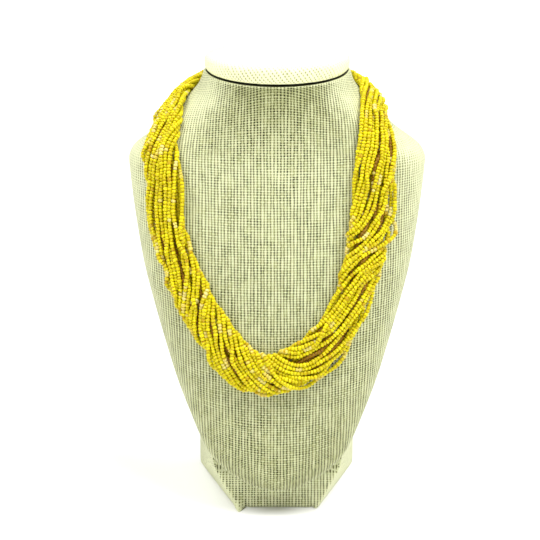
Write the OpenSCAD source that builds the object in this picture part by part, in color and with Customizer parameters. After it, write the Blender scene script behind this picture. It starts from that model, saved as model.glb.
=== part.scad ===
// Multi strand bead necklace on a neck bust.
// The bust stands on z = 0 and faces -Y. Millimetres.

/* [Bust] */
// Height of the seam under the neck cap
seam_h = 321; // [300:1:350]
// Height of the widest place of the shoulders
shoulder_h = 260; // [240:1:275]
// Height of the lowest point of the chest
tip_h = 21.5; // [16:0.5:40]
// Width across the shoulders
shoulder_w = 217; // [190:1:240]
// Width of the neck at the seam
neck_w = 107; // [98:1:116]
// Depth of the neck at the seam, front to back
neck_d = 104; // [96:1:112]
// How far the chest stands in front of the neck
chest_reach = 39; // [25:1:50]
// How far the back comes forward from the nape down to the tip
back_run = 124; // [110:1:135]

/* [Neck cap] */
// Diameter of the padded cap
cap_d = 106; // [98:1:120]
// Height of the cap's side
cap_t = 11; // [8:0.5:14]
// Rise of the padding over the middle of the cap
cap_crown = 5.5; // [1:0.5:8]
// Roundness of the cap's edges
cap_edge_r = 4; // [1:0.5:4]

/* [Foot] */
// Width of the foot in front
foot_front_w = 60; // [45:1:80]
// Width of the foot in front, above its folded corners
foot_high_w = 96; // [80:1:115]
// Height of the folded corners
foot_fold_h = 37; // [25:1:60]
// Width of the foot behind
foot_back_w = 123; // [100:1:140]
// Depth of the foot
foot_d = 80; // [70:1:100]
// Distance of the foot's front behind the chest's foremost point
foot_set = 20; // [12:1:30]
// Height of the foot at the back
foot_h = 150; // [110:1:170]

/* [Necklace] */
// Width of the bundle of strands on the chest
bundle_w = 28; // [24:1:32]
// Thickness of the bundle of strands on the chest
bundle_t = 8.5; // [7:0.5:10]
// Depth of the furrows between the strands
furrow = 0.6; // [0.2:0.1:0.8]
// How far under the seam the necklace crosses the nape
nape_drop = 17; // [12:0.5:22]

/* [Clasp] */
// Length of the clasp's barrel
barrel_l = 14; // [10:1:18]
// Diameter of the clasp's barrel
barrel_d = 6; // [5:0.5:8]
// Length of each end cup
cup_l = 15; // [12:1:18]
// Diameter of each end cup
cup_d = 17; // [15:0.5:18]
// Wall of each end cup at its mouth
cup_wall = 0.8; // [0.6:0.1:1.2]
// How deep the strands go into each end cup
cup_grip = 4; // [2:0.5:5]

/* [Hidden] */
// Gap between neighbouring pieces
clear = 0.3;

// Neck, from the seam down to the shoulders:
// [share of the way down, share of the way out, reach in front, run behind,
//  share of the depth where it is widest, squareness in front, squareness behind]
NECK = [
    [0.00, 0.000, 0.00, 0.000, 0.50, 2.0, 2.0],
    [0.09, 0.025, 0.01, 0.002, 0.50, 2.0, 2.0],
    [0.20, 0.090, 0.03, 0.010, 0.50, 2.0, 2.0],
    [0.34, 0.235, 0.06, 0.025, 0.50, 2.0, 2.1],
    [0.52, 0.425, 0.10, 0.050, 0.50, 2.0, 2.2],
    [0.68, 0.600, 0.14, 0.078, 0.49, 2.0, 2.4],
    [0.80, 0.780, 0.17, 0.104, 0.48, 2.0, 2.6],
    [0.90, 0.930, 0.20, 0.125, 0.47, 2.0, 2.8],
];

// Chest, from the shoulders down to the tip:
// [share of the way down, share of the shoulders' width, then as in NECK]
CHEST = [
    [0.000, 1.000, 0.23, 0.148, 0.46, 2.0, 3.0],
    [0.040, 0.997, 0.29, 0.182, 0.46, 2.0, 3.1],
    [0.110, 0.980, 0.38, 0.242, 0.44, 2.0, 3.3],
    [0.200, 0.950, 0.49, 0.320, 0.43, 2.1, 3.5],
    [0.320, 0.902, 0.61, 0.427, 0.41, 2.2, 3.7],
    [0.440, 0.832, 0.72, 0.533, 0.40, 2.2, 3.9],
    [0.555, 0.756, 0.82, 0.637, 0.40, 2.2, 4.0],
    [0.670, 0.672, 0.91, 0.742, 0.40, 2.2, 4.0],
    [0.775, 0.578, 0.97, 0.835, 0.41, 2.2, 4.0],
    [0.840, 0.515, 0.99, 0.890, 0.42, 2.2, 4.0],
    [0.890, 0.452, 1.00, 0.933, 0.44, 2.2, 3.6],
    [0.930, 0.362, 1.00, 0.966, 0.46, 2.2, 3.2],
    [0.960, 0.276, 0.98, 0.990, 0.48, 2.1, 2.8],
    [0.984, 0.176, 0.95, 1.010, 0.50, 2.0, 2.4],
    [0.996, 0.092, 0.90, 1.025, 0.50, 2.0, 2.0],
];

// A table's row as lengths:
// [height, half width, front y, back y, widest y, squareness in front, behind]
function lengths(row, height, half) =
    let (front = -neck_d / 2 - row[2] * chest_reach, back = neck_d / 2 - row[3] * back_run)
    [height, half, front, back, back + row[4] * (front - back), row[5], row[6]];

ROWS = concat(
    [for (r = NECK) lengths(r, seam_h - r[0] * (seam_h - shoulder_h),
                            (neck_w + r[1] * (shoulder_w - neck_w)) / 2)],
    [for (r = CHEST) lengths(r, shoulder_h - r[0] * (shoulder_h - tip_h),
                             r[1] * shoulder_w / 2)]);

// Change of a table's row per millimetre of height
function change(i) =
    let (a = ROWS[max(i - 1, 0)], b = ROWS[min(i + 1, len(ROWS) - 1)]) (b - a) / (b[0] - a[0]);

// The bust's section at a height, smooth between the rows
function section(height, i = 0) =
    i < len(ROWS) - 2 && height < ROWS[i + 1][0] ? section(height, i + 1)
    : let (a = ROWS[i], b = ROWS[i + 1], h = b[0] - a[0], f = (height - a[0]) / h)
        a * (2 * pow(f, 3) - 3 * f * f + 1) + b * (3 * f * f - 2 * pow(f, 3))
        + change(i) * h * (pow(f, 3) - 2 * f * f + f)
        + change(i + 1) * h * (pow(f, 3) - f * f);

// A power that keeps the sign
function bent(x, p) = sign(x) * pow(abs(x), p);

// A point of the bust's skin at a height and turn,
// where turn 0 is the front, 90 the right side of the picture and 180 the nape
function skin(height, turn) =
    let (r = section(height),
         n = cos(turn) >= 0 ? r[5] : r[6],
         depth = cos(turn) >= 0 ? r[4] - r[2] : r[3] - r[4])
    [r[1] * bent(sin(turn), 2 / n), r[4] - depth * bent(cos(turn), 2 / n), height];

// A closed skin over rings of equal size, with a point at each end
module rings(ring_list, first, last) {
    n = len(ring_list[0]);
    count = len(ring_list);
    points = concat([first], [for (r = ring_list) each r], [last]);
    sides = [for (k = [0 : count - 2], i = [0 : n - 1])
        let (j = (i + 1) % n, a = 1 + k * n, b = a + n)
        each [[a + i, a + j, b + j], [a + i, b + j, b + i]]];
    lids = [for (i = [0 : n - 1])
        let (j = (i + 1) % n, e = 1 + (count - 1) * n)
        each [[0, 1 + j, 1 + i], [e + i, e + j, 1 + count * n]]];
    polyhedron(points, concat(sides, lids));
}

// Middle of a ring
function middle(ring) = [for (v = ring) 1] * ring / len(ring);

BUST_SIDES = 48;
// Rows that lie further apart than this get a ring between them
RING_GAP = 5;

module bust_body() {
    heights = [for (i = [0 : len(ROWS) - 1])
        each i == 0 || ROWS[i - 1][0] - ROWS[i][0] < RING_GAP ? [ROWS[i][0]]
            : [(ROWS[i - 1][0] + ROWS[i][0]) / 2, ROWS[i][0]]];
    skins = [for (h = heights) [for (i = [0 : BUST_SIDES - 1]) skin(h, 360 * i / BUST_SIDES)]];
    tip = middle(skins[len(skins) - 1]);
    color([0.86, 0.87, 0.68])
        rings(skins, middle(skins[0]), [tip.x, tip.y, tip_h]);
}

// The crown is a shallow part of a sphere that ends at the cap's flat rim
cap_flat_r = cap_d / 2 - cap_edge_r;
crown_r = (cap_flat_r * cap_flat_r + cap_crown * cap_crown) / (2 * cap_crown);

module neck_cap() {
    color([0.93, 0.93, 0.80]) translate([0, 0, seam_h + clear]) rotate_extrude($fn = 180) {
        square([cap_flat_r, cap_t]);
        translate([0, cap_edge_r]) square([cap_d / 2, cap_t - 2 * cap_edge_r]);
        for (z = [cap_edge_r, cap_t - cap_edge_r])
            translate([cap_flat_r, z]) circle(r = cap_edge_r, $fn = 48);
        intersection() {
            translate([0, cap_t + cap_crown - crown_r]) circle(r = crown_r, $fn = 720);
            square([cap_flat_r, cap_t + cap_crown]);
        }
    }
}

// Plane behind the bust's back that the foot's top keeps clear of:
// its slope is the lower back's, and no row of the back stands behind it
LOW_BACK = [for (r = ROWS) if (r[0] < foot_h) r];
// Rows at the table's end that belong to the rounded tip
TIP_ROWS = 3;
low = LOW_BACK[len(LOW_BACK) - 1 - TIP_ROWS];
high = LOW_BACK[0];
back_slope = (high[3] - low[3]) / (high[0] - low[0]);
back_y = max([for (r = LOW_BACK) r[3] - back_slope * r[0]]) + clear * sqrt(1 + pow(back_slope, 2));

module foot() {
    front = -neck_d / 2 - chest_reach + foot_set;
    rear = front + foot_d;
    over = 10;
    low_x = foot_front_w / 2;
    high_x = foot_high_w / 2;
    rear_x = foot_back_w / 2;
    corners = [[-low_x, front, 0], [low_x, front, 0], [rear_x, rear, 0], [-rear_x, rear, 0],
               [-high_x, front, foot_fold_h], [high_x, front, foot_fold_h],
               [-high_x, front, foot_h], [high_x, front, foot_h],
               [rear_x, rear, foot_h], [-rear_x, rear, foot_h]];
    faces = [[0, 1, 2, 3], [0, 4, 6, 7, 5, 1], [1, 5, 2], [5, 7, 8, 2], [2, 8, 9, 3],
             [0, 3, 4], [3, 9, 6, 4], [6, 9, 8, 7]];
    color([0.86, 0.87, 0.68]) difference() {
        polyhedron(corners, faces);
        rotate([90, 0, 90]) linear_extrude(foot_back_w + over, center = true)
            polygon([[back_y - back_slope * over, -over],
                     [back_y + back_slope * (foot_h + over), foot_h + over],
                     [front - foot_h, foot_h + over], [front - foot_h, -over]]);
    }
}

function unit(v) = v / norm(v);

// Outward normal of the skin at a height and turn
function outward(height, turn) =
    unit(cross(skin(height, turn + 1) - skin(height, turn - 1),
               skin(height + 0.5, turn) - skin(height - 0.5, turn)));

// How far a point lies under the skin, measured level, or less than zero outside it
function under_skin(p) =
    let (r = section(p.z),
         n = p.y < r[4] ? r[5] : r[6],
         depth = p.y < r[4] ? r[4] - r[2] : r[3] - r[4],
         reach = pow(pow(abs(p.x) / r[1], n) + pow(abs(p.y - r[4]) / depth, n), 1 / n))
    norm([p.x, p.y - r[4]]) * (1 / reach - 1);

// The clasp lies level behind the nape, clear of the neck along its whole length
nape_h = seam_h - nape_drop;
mouth_x = barrel_l / 2 + cup_l;
function clasp_r(x) =
    x < barrel_l / 2 ? barrel_d / 2
    : let (m = max(barrel_l / 2 + cup_d / 2 - x, 0)) sqrt(pow(cup_d / 2, 2) - m * m);
function nape_y(x) =
    let (r = section(nape_h))
    r[4] + (r[3] - r[4]) * pow(1 - pow(x / r[1], r[6]), 1 / r[6]);
clasp_y = max([for (x = [0 : mouth_x / 16 : mouth_x]) nape_y(x) + clasp_r(x)]) + clear;

// The necklace's way round the neck, from one end cup to the other, as points on the skin:
// [share of the way down from the nape to the tip, turn,
//  share of the bundle's width, share of the bundle's thickness]
ROUTE = [
    [0.000, -148, 0.60, 1.40],
    [0.008, -127, 0.70, 1.24],
    [0.019, -107, 0.82, 1.12],
    [0.032, -91, 0.92, 1.10],
    [0.050, -78, 0.98, 1.06],
    [0.080, -67.5, 0.99, 1.02],
    [0.128, -52, 0.98, 1.00],
    [0.200, -46.2, 0.98, 1.00],
    [0.275, -47, 1.00, 1.00],
    [0.350, -45.3, 1.02, 1.00],
    [0.425, -40, 1.02, 1.00],
    [0.497, -34.5, 1.04, 1.00],
    [0.564, -28, 1.03, 1.00],
    [0.633, -19, 1.06, 1.02],
    [0.664, -7, 1.08, 1.05],
    [0.650, 5.5, 1.08, 1.05],
    [0.612, 15.3, 1.05, 1.00],
    [0.556, 25.0, 1.04, 1.00],
    [0.480, 31.8, 1.00, 1.00],
    [0.405, 33.8, 1.04, 1.00],
    [0.325, 37.0, 1.14, 0.96],
    [0.250, 38.5, 1.14, 0.98],
    [0.172, 38.6, 1.10, 1.00],
    [0.118, 45.3, 1.04, 0.98],
    [0.079, 54.5, 0.98, 0.94],
    [0.047, 63, 0.92, 0.90],
    [0.026, 74, 0.88, 0.90],
    [0.016, 90, 0.84, 0.94],
    [0.010, 110, 0.80, 1.04],
    [0.004, 130, 0.70, 1.22],
    [0.000, 148, 0.60, 1.40],
];

// A smooth curve through the rows of a table, at row number u
function curve(rows, u) =
    let (last = len(rows) - 1,
         i = min(floor(u), last - 1),
         f = u - i,
         a = rows[max(i - 1, 0)], b = rows[i], c = rows[i + 1], d = rows[min(i + 2, last)])
    b + ((c - a) * f + (2 * a - 5 * b + 4 * c - d) * f * f
         + (3 * b - a - 3 * c + d) * f * f * f) / 2;

// A row of the route as [x, y, z, width, thickness, outward x, y, z]
function laid(row) =
    let (h = nape_h - row[0] * (nape_h - tip_h),
         out = outward(h, row[1]),
         thick = row[3] * bundle_t)
    concat(skin(h, row[1]) + out * (thick / 2 + clear), row[2] * bundle_w, thick, out);

RIDGES = 12;
BUNDLE_SIDES = 3 * RIDGES;
// Rows of the path from ring to ring, and turn of the ridges per row
RING_STEP = 0.36;
RIDGE_TURN = 28;
// Squareness of the bundle's section
FULLNESS = 2.3;

// The straight way out of an end cup, side -1 or 1, from inside the cup outwards,
// where the section's fullest places keep clear of the cup's wall
mouth_d = (cup_d - 2 * (cup_wall + clear)) / pow(2, 1 / 2 - 1 / FULLNESS);
function cup_rows(side) =
    [for (x = [mouth_x - cup_grip + clear, mouth_x, mouth_x + cup_grip])
        [side * x, clasp_y, nape_h, mouth_d, mouth_d, 0, 1, 0]];

PATH = concat(cup_rows(-1), [for (r = ROUTE) laid(r)],
              [for (i = [2 : -1 : 0]) cup_rows(1)[i]]);

// A point of the bundle's section, half as wide as a, half as thick as b
function lobe(a, b, t, shift) =
    let (f = furrow * (1 - cos(RIDGES * t + shift)) / 2)
    [(a - f) * bent(cos(t), 2 / FULLNESS), (b - f) * bent(sin(t), 2 / FULLNESS)];

// A ring of the bundle at place s of the path, lifted until it is clear of the skin
function bundle_ring(s) =
    let (row = curve(PATH, s),
         step = 0.05,
         end = len(PATH) - 1,
         ahead = curve(PATH, min(s + step, end)) - curve(PATH, max(s - step, 0)),
         along = unit([ahead[0], ahead[1], ahead[2]]),
         raw = [row[5], row[6], row[7]],
         out = unit(raw - along * (raw * along)),
         across = cross(along, out),
         at = [row[0], row[1], row[2]],
         ring = [for (i = [0 : BUNDLE_SIDES - 1])
             let (q = lobe(row[3] / 2, row[4] / 2, 360 * i / BUNDLE_SIDES, RIDGE_TURN * s))
             at + across * q.x + out * q.y],
         sunk = max([for (v = ring) under_skin(v)]) + clear,
         lift = max(sunk, 0) / norm([out.x, out.y]))
    [for (v = ring) v + out * lift];

BUNDLE_STEPS = round((len(PATH) - 1) / RING_STEP);
BUNDLE_RINGS = [for (k = [0 : BUNDLE_STEPS]) bundle_ring((len(PATH) - 1) * k / BUNDLE_STEPS)];

module bead_bundle() {
    color([0.95, 0.84, 0.08])
        rings(BUNDLE_RINGS, middle(BUNDLE_RINGS[0]), middle(BUNDLE_RINGS[BUNDLE_STEPS]));
}

module clasp() {
    dome = barrel_l / 2 + cup_d / 2;
    color([0.80, 0.68, 0.38]) translate([0, clasp_y, nape_h]) rotate([0, 90, 0])
        rotate_extrude($fn = 96) {
            translate([0, -dome]) square([barrel_d / 2, 2 * dome]);
            for (side = [0, 1]) mirror([0, side]) difference() {
                intersection() {
                    union() {
                        translate([0, dome]) circle(d = cup_d, $fn = 96);
                        translate([0, dome]) square([cup_d / 2, mouth_x - dome]);
                    }
                    square([cup_d, mouth_x]);
                }
                translate([0, mouth_x - cup_grip]) square([cup_d / 2 - cup_wall, cup_l]);
            }
        }
}

// The origin is under the middle of the whole object's box
front_y = min(-neck_d / 2 - chest_reach, min([for (r = BUNDLE_RINGS) each [for (v = r) v.y]]));
rear_y = clasp_y + cup_d / 2;

module placed() {
    translate([0, -(front_y + rear_y) / 2, 0]) children();
}

placed() bust_body();
placed() neck_cap();
placed() foot();
placed() bead_bundle();
placed() clasp();
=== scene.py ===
import math

import bpy
import numpy as np
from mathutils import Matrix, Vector


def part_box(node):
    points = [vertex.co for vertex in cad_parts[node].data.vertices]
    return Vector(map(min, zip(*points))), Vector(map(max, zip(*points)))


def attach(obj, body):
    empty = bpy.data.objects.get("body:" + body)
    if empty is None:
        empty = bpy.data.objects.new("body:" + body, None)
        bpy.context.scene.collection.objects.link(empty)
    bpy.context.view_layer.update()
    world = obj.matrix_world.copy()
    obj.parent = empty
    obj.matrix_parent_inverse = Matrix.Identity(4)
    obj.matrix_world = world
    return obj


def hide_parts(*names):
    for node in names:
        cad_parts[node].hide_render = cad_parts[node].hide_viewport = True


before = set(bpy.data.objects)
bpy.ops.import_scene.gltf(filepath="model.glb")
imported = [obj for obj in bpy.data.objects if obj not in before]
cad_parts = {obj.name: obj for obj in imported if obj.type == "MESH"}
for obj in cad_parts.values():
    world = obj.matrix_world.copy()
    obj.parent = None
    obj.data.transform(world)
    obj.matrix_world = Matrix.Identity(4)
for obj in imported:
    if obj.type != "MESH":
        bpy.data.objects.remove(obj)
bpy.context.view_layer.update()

MM = 0.001

# Sizes of the bust, in metres, as in the part's source
BODY_LOW, BODY_HIGH = (np.array(corner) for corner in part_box("bust_body"))
CAP_LOW, CAP_HIGH = (np.array(corner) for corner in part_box("neck_cap"))
FOOT_LOW, FOOT_HIGH = (np.array(corner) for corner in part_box("foot"))
SEAM_H = BODY_HIGH[2]
TIP_H = BODY_LOW[2]
SHOULDER_W = BODY_HIGH[0] - BODY_LOW[0]
SHOULDER_H = 260 * MM
NECK_W = 107 * MM
NECK_D = 104 * MM
CHEST_REACH = 39 * MM
BACK_RUN = 124 * MM
NECK_Y = BODY_LOW[1] + NECK_D / 2 + CHEST_REACH
CLEAR = 0.3 * MM
# How much lower the seam under the cap runs in front
SEAM_DIP = 3.2 * MM
# How far the cloth rounds the edges of what it covers
EDGE = 1.5 * MM
# The foot's front at the floor and at the top of its folded corners, and how high these reach
FOOT_FRONT_W = 60 * MM
FOOT_HIGH_W = 96 * MM
FOLD_H = 37 * MM
# Cloth tips and creases at the foot's front corners: [place across, how far out, over what length]
TIPS = np.array([[-28.5, 7.0, 3.2], [30, 2.5, 3.2], [-24, -2.6, 2.2], [27, -2.6, 2.0]]) * MM
# How high the tips reach, and how far the hem lifts in front
TIP_RISE = 9 * MM
HEM_LIFT = 2.0 * MM
# Doubled cloth of the folded corners, left and right:
# half the width left free at the floor, and at the fold's top
FOLDS = [[25.5 * MM, 50 * MM], [30 * MM, 47 * MM]]
# How thick the doubling is, and over what width it fades out
FOLD_T = 0.7 * MM
FOLD_EDGE = 1.5 * MM

# Neck, from the seam down to the shoulders:
# [share of the way down, share of the way out, reach in front, run behind,
#  share of the depth where it is widest, squareness in front, squareness behind]
NECK = [
    [0.00, 0.000, 0.00, 0.000, 0.50, 2.0, 2.0],
    [0.09, 0.025, 0.01, 0.002, 0.50, 2.0, 2.0],
    [0.20, 0.090, 0.03, 0.010, 0.50, 2.0, 2.0],
    [0.34, 0.235, 0.06, 0.025, 0.50, 2.0, 2.1],
    [0.52, 0.425, 0.10, 0.050, 0.50, 2.0, 2.2],
    [0.68, 0.600, 0.14, 0.078, 0.49, 2.0, 2.4],
    [0.80, 0.780, 0.17, 0.104, 0.48, 2.0, 2.6],
    [0.90, 0.930, 0.20, 0.125, 0.47, 2.0, 2.8],
]

# Chest, from the shoulders down to the tip:
# [share of the way down, share of the shoulders' width, then as in NECK]
CHEST = [
    [0.000, 1.000, 0.23, 0.148, 0.46, 2.0, 3.0],
    [0.040, 0.997, 0.29, 0.182, 0.46, 2.0, 3.1],
    [0.110, 0.980, 0.38, 0.242, 0.44, 2.0, 3.3],
    [0.200, 0.950, 0.49, 0.320, 0.43, 2.1, 3.5],
    [0.320, 0.902, 0.61, 0.427, 0.41, 2.2, 3.7],
    [0.440, 0.832, 0.72, 0.533, 0.40, 2.2, 3.9],
    [0.555, 0.756, 0.82, 0.637, 0.40, 2.2, 4.0],
    [0.670, 0.672, 0.91, 0.742, 0.40, 2.2, 4.0],
    [0.775, 0.578, 0.97, 0.835, 0.41, 2.2, 4.0],
    [0.840, 0.515, 0.99, 0.890, 0.42, 2.2, 4.0],
    [0.890, 0.452, 1.00, 0.933, 0.44, 2.2, 3.6],
    [0.930, 0.362, 1.00, 0.966, 0.46, 2.2, 3.2],
    [0.960, 0.276, 0.98, 0.990, 0.48, 2.1, 2.8],
    [0.984, 0.176, 0.95, 1.010, 0.50, 2.0, 2.4],
    [0.996, 0.092, 0.90, 1.025, 0.50, 2.0, 2.0],
]


def lengths(row, height, half):
    """A table's row in metres: height, half width, front, back, widest place, two squarenesses."""
    front = NECK_Y - NECK_D / 2 - row[2] * CHEST_REACH
    back = NECK_Y + NECK_D / 2 - row[3] * BACK_RUN
    return [height, half, front, back, back + row[4] * (front - back), row[5], row[6]]


def bust_rows():
    """Both tables in metres, from the seam down to the tip."""
    neck = [lengths(r, SEAM_H - r[0] * (SEAM_H - SHOULDER_H),
                    (NECK_W + r[1] * (SHOULDER_W - NECK_W)) / 2) for r in NECK]
    chest = [lengths(r, SHOULDER_H - r[0] * (SHOULDER_H - TIP_H), r[1] * SHOULDER_W / 2)
             for r in CHEST]
    return np.array(neck + chest)


ROWS = bust_rows()
ROWS_AFTER = np.vstack([ROWS[1:], ROWS[-1:]])
ROWS_BEFORE = np.vstack([ROWS[:1], ROWS[:-1]])
CHANGE = (ROWS_AFTER - ROWS_BEFORE) / (ROWS_AFTER[:, :1] - ROWS_BEFORE[:, :1])


def unit(v):
    """The same directions, each 1 long."""
    return v / np.linalg.norm(v, axis=-1, keepdims=True)


def run_along(points, axis=0):
    """The length run along rows of points, up to each of them."""
    steps = np.linalg.norm(np.diff(points, axis=axis), axis=-1)
    return np.insert(np.cumsum(steps, axis), 0, 0, axis)


def section(height):
    """The bust's section at some heights, smooth between the rows."""
    height = np.asarray(height, float)
    i = np.clip(np.searchsorted(-ROWS[:, 0], -height, side="right") - 1, 0, len(ROWS) - 2)
    a, b = ROWS[i], ROWS[i + 1]
    h = (b[..., 0] - a[..., 0])[..., None]
    f = (height - a[..., 0])[..., None] / h
    return (a * (2 * f**3 - 3 * f**2 + 1) + b * (3 * f**2 - 2 * f**3)
            + CHANGE[i] * h * (f**3 - 2 * f**2 + f) + CHANGE[i + 1] * h * (f**3 - f**2))


def bent(x, power):
    """A power that keeps the sign."""
    return np.sign(x) * np.abs(x) ** power


def half_section(row, ahead):
    """Squareness and depth of a section's front half where ahead is true, else of its back half."""
    return (np.where(ahead, row[..., 5], row[..., 6]),
            np.where(ahead, row[..., 4] - row[..., 2], row[..., 3] - row[..., 4]))


def skin(height, turn):
    """Points of the bust's skin. Turn 0 is the front, a quarter turn +X, half a turn the nape."""
    r = section(height)
    n, depth = half_section(r, np.cos(turn) >= 0)
    x = r[..., 1] * bent(np.sin(turn), 2 / n)
    y = r[..., 4] - depth * bent(np.cos(turn), 2 / n)
    return np.stack([x, y, np.broadcast_to(height, n.shape)], -1)


def outward(height, turn):
    """Outward normal of the skin."""
    dt, dh = math.radians(1), 0.5 * MM
    sideways = skin(height, turn + dt) - skin(height, turn - dt)
    upwards = skin(height + dh, turn) - skin(height - dh, turn)
    return unit(np.cross(sideways, upwards))


def reach(p):
    """1 on the skin, less inside it and more outside."""
    r = section(np.clip(p[..., 2], TIP_H + 1 * MM, SEAM_H + 20 * MM))
    dy = p[..., 1] - r[..., 4]
    n, depth = half_section(r, dy < 0)
    return (np.abs(p[..., 0] / r[..., 1]) ** n + np.abs(dy / depth) ** n) ** (1 / n)


def depth_in(p):
    """How far points lie under the skin, and the way out."""
    e = 0.5 * MM
    steps = e * np.eye(3)
    slope = np.stack([(reach(p + d) - reach(p - d)) / (2 * e) for d in steps], -1)
    size = np.linalg.norm(slope, axis=-1)
    return (1 - reach(p)) / size, slope / size[..., None]


# Sizes of the necklace, and how square the bundle's section is
BUNDLE_W = 28 * MM
BUNDLE_T = 8.5 * MM
FULLNESS = 2.3
NAPE_H = SEAM_H - 17 * MM
CLASP_LOW, CLASP_HIGH = (np.array(corner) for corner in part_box("clasp"))
CLASP_MIDDLE = (CLASP_LOW + CLASP_HIGH) / 2
CUP_GRIP = 4 * MM
CUP_WALL = 0.8 * MM
CUP_D = CLASP_HIGH[2] - CLASP_LOW[2]
MOUTH_X = CLASP_HIGH[0]
# Beads: how wide they are, how long, and how uneven in size
BEAD_D = 3.2 * MM
BEAD_PITCH = 2.35 * MM
BEAD_SPREAD = 0.14
# All strands, and those that run round the bundle's rim; the others lie inside
STRANDS = 20
RIM_STRANDS = 16
# How far the strands spread over the bundle's width, and how far apart their stations are
SPREAD = 1.06
STATION_GAP = 2 * MM

# The necklace's way round the neck, from one end cup to the other, as points on the skin:
# [share of the way down from the nape to the tip, turn,
#  share of the bundle's width, share of the bundle's thickness, lean of the front strands]
ROUTE = [
    [0.000, -148, 0.60, 1.40, 8],
    [0.008, -127, 0.70, 1.24, 10],
    [0.019, -107, 0.82, 1.12, 12],
    [0.032, -91, 0.92, 1.10, 16],
    [0.050, -78, 0.98, 1.06, 22],
    [0.080, -67.5, 0.99, 1.02, 26],
    [0.128, -52, 0.98, 1.00, 22],
    [0.200, -46.2, 0.98, 1.00, 8],
    [0.275, -47, 1.00, 1.00, 2],
    [0.350, -45.3, 1.02, 1.00, 4],
    [0.425, -40, 1.02, 1.00, 16],
    [0.497, -34.5, 1.04, 1.00, 36],
    [0.564, -28, 1.03, 1.00, 26],
    [0.633, -19, 1.06, 1.02, 20],
    [0.664, -7, 1.08, 1.05, 42],
    [0.650, 5.5, 1.08, 1.05, 40],
    [0.612, 15.3, 1.05, 1.00, 14],
    [0.556, 25.0, 1.04, 1.00, 6],
    [0.480, 31.8, 1.00, 1.00, 8],
    [0.405, 33.8, 1.04, 1.00, 34],
    [0.325, 37.0, 1.14, 0.96, 38],
    [0.250, 38.5, 1.14, 0.98, 12],
    [0.172, 38.6, 1.10, 1.00, 4],
    [0.118, 45.3, 1.04, 0.98, 3],
    [0.079, 54.5, 0.98, 0.94, 4],
    [0.047, 63, 0.92, 0.90, 6],
    [0.026, 74, 0.88, 0.90, 8],
    [0.016, 90, 0.84, 0.94, 10],
    [0.010, 110, 0.80, 1.04, 12],
    [0.004, 130, 0.70, 1.22, 10],
    [0.000, 148, 0.60, 1.40, 8],
]

# Strands that hang loose at the bundle's outer edge:
# [place along the bundle, share of the way round it, how far out, over what length]
LOOSE = [
    [467 * MM, 0.02, 5.0 * MM, 10 * MM],
    [374 * MM, 0.97, 7.0 * MM, 22 * MM],
    [432 * MM, 0.03, 1.0 * MM, 16 * MM],
]


def path_rows():
    """The route as rows of place, width, thickness, outward direction and lean."""
    mouth_d = (CUP_D - 2 * (CUP_WALL + CLEAR)) / 2 ** (1 / 2 - 1 / FULLNESS)
    cup_lean = ROUTE[0][4]
    cup = [[x, CLASP_MIDDLE[1], NAPE_H, mouth_d, mouth_d, 0, 1, 0, cup_lean]
           for x in (MOUTH_X - CUP_GRIP + CLEAR, MOUTH_X, MOUTH_X + CUP_GRIP)]
    rows = [[-row[0]] + row[1:] for row in cup]
    for down, turn, wide, thick, lean in ROUTE:
        height = NAPE_H - down * (NAPE_H - TIP_H)
        out = outward(height, math.radians(turn))
        middle = skin(height, math.radians(turn)) + out * (thick * BUNDLE_T / 2 + CLEAR)
        rows.append([*middle, wide * BUNDLE_W, thick * BUNDLE_T, *out, lean])
    return np.array(rows + cup[::-1])


def curve(rows, u):
    """A smooth curve through the rows of a table, at row numbers u."""
    last = len(rows) - 1
    i = np.minimum(np.floor(u).astype(int), last - 1)
    f = (u - i)[:, None]
    a, b, c, d = rows[np.maximum(i - 1, 0)], rows[i], rows[i + 1], rows[np.minimum(i + 2, last)]
    return b + ((c - a) * f + (2 * a - 5 * b + 4 * c - d) * f**2
                + (3 * b - a - 3 * c + d) * f**3) / 2


def evened(values, reach_each_way):
    """A running mean over some stations each way."""
    window = np.hanning(2 * reach_each_way + 3)[1:-1]
    return np.convolve(np.pad(values, reach_each_way, mode="edge"), window / window.sum(), "valid")


def eased(middle):
    """The middle line with an easier bend where it leaves the end cups."""
    straight, stretch, far = 3, 30, 9
    bend = middle.copy()
    for ends in (slice(straight, stretch), slice(-stretch, -straight)):
        count = bend[ends].shape[0]
        fade = np.minimum(1, 2 * np.hanning(count + 2)[1:-1])[:, None]
        soft = np.stack([evened(column, far) for column in middle.T], 1)[ends]
        bend[ends] += (soft - bend[ends]) * fade
    return bend


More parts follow.
